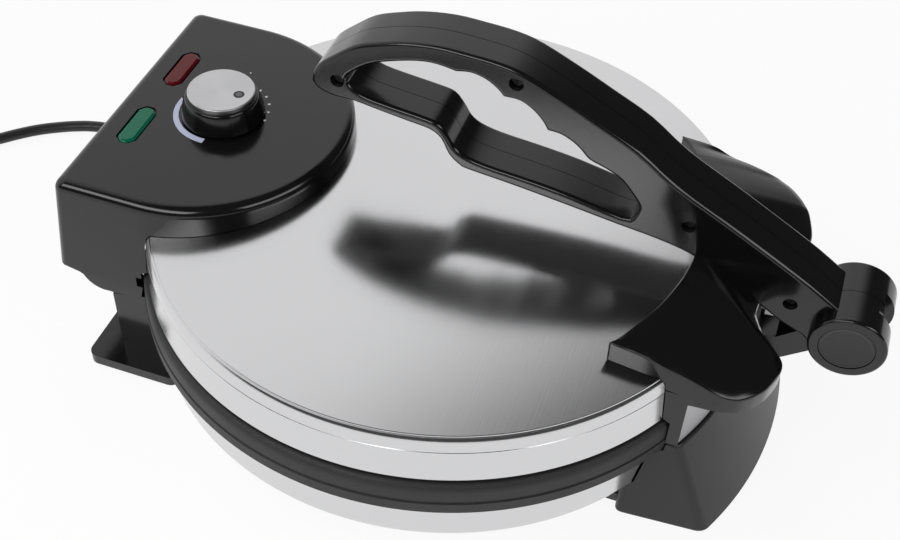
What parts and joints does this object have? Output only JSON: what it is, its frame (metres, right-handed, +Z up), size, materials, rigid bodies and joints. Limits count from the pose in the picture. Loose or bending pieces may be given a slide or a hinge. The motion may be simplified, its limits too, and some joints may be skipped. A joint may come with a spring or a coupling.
{
  "type": "electric tortilla maker",
  "caption": "Countertop tortilla press and griddle with domed steel lid, rear thermostat housing, front pivot and long swing-over lever.",
  "frame": {"origin": "middle of the object's footprint box on the table, cord left out", "axes": "+Z up, -Y to the front where the lever is pivoted, +X to the right seen from the front"},
  "size_m": [0.2858, 0.6182, 0.1835],
  "materials": {
    "stainless": "brushed, softly reflective",
    "black_gloss": "glossy black moulding",
    "black_matte": "finely textured black moulding",
    "silver_cap": "satin silver",
    "cast_plate": "cast aluminium with a dark non-stick coating",
    "heater_steel": "dull heater sheath",
    "fastener_steel": "blackened screw steel",
    "rubber_black": "matte black rubber",
    "green_lens": "clear green, ribbed below",
    "red_lens": "clear dark red, ribbed below",
    "lamp_glass": "clear glass",
    "plug_brass": "bright brass"
  },
  "bodies": {
    "base": {"base_shell": "stainless", "bottom_cover": "stainless", "cover_screw_1": "fastener_steel", "cover_screw_2": "fastener_steel", "base_ring": "black_matte", "lower_plate": "cast_plate", "lower_heater": "heater_steel", "lower_heat_shield": "stainless", "front_foot": "black_gloss", "rear_foot": "black_gloss", "foot_screw_1": "fastener_steel", "foot_screw_2": "fastener_steel", "foot_screw_3": "fastener_steel", "foot_screw_4": "fastener_steel", "rear_pad_left": "rubber_black", "rear_pad_right": "rubber_black", "front_pad_left": "rubber_black", "front_pad_right": "rubber_black", "hinge_pin_left": "fastener_steel", "hinge_pin_right": "fastener_steel", "terminal_block": "black_matte", "strain_relief": "rubber_black", "cord": "rubber_black", "cord_coil": "rubber_black", "cord_tie": "rubber_black", "cord_end": "rubber_black", "plug_body": "rubber_black", "plug_blade_1": "plug_brass", "plug_blade_2": "plug_brass"},
    "lid": {"lid_shell": "stainless", "upper_plate": "cast_plate", "upper_heater": "heater_steel", "upper_heat_shield": "stainless", "control_housing": "black_gloss", "housing_cover": "black_matte", "green_lens": "green_lens", "green_lamp": "lamp_glass", "red_lens": "red_lens", "red_lamp": "lamp_glass", "thermostat": "black_matte", "housing_screw_1": "fastener_steel", "housing_screw_2": "fastener_steel", "nose_screw_1": "fastener_steel", "nose_screw_2": "fastener_steel", "lid_nose": "black_gloss", "pivot_arm": "black_gloss", "arm_screw_1": "fastener_steel", "arm_screw_2": "fastener_steel", "pivot_pin": "fastener_steel"},
    "knob": {"knob": "black_gloss", "knob_cap": "silver_cap", "thermostat_shaft": "fastener_steel"},
    "lever": {"lever_left_half": "black_gloss", "lever_right_half": "black_gloss", "pivot_cap_left": "black_gloss", "pivot_cap_right": "black_gloss", "lever_screw_1": "fastener_steel", "lever_screw_2": "fastener_steel", "lever_screw_3": "fastener_steel", "lever_screw_4": "fastener_steel"}
  },
  "joints": [
    {"name": "lid_hinge", "type": "hinge", "parent": "base", "child": "lid", "pos_m": [0, 0.1634, 0.0525], "axis": [-1, 0, 0], "range_deg": [0, 92]},
    {"name": "lever_pivot", "type": "hinge", "parent": "lid", "child": "lever", "pos_m": [0, -0.1687, 0.078], "axis": [1, 0, 0], "range_deg": [0, 165]},
    {"name": "knob_turn", "type": "hinge", "parent": "lid", "child": "knob", "pos_m": [0, 0.1317, 0.103], "axis": [0, 0, 1], "range_deg": [-180, 65]}
  ]
}
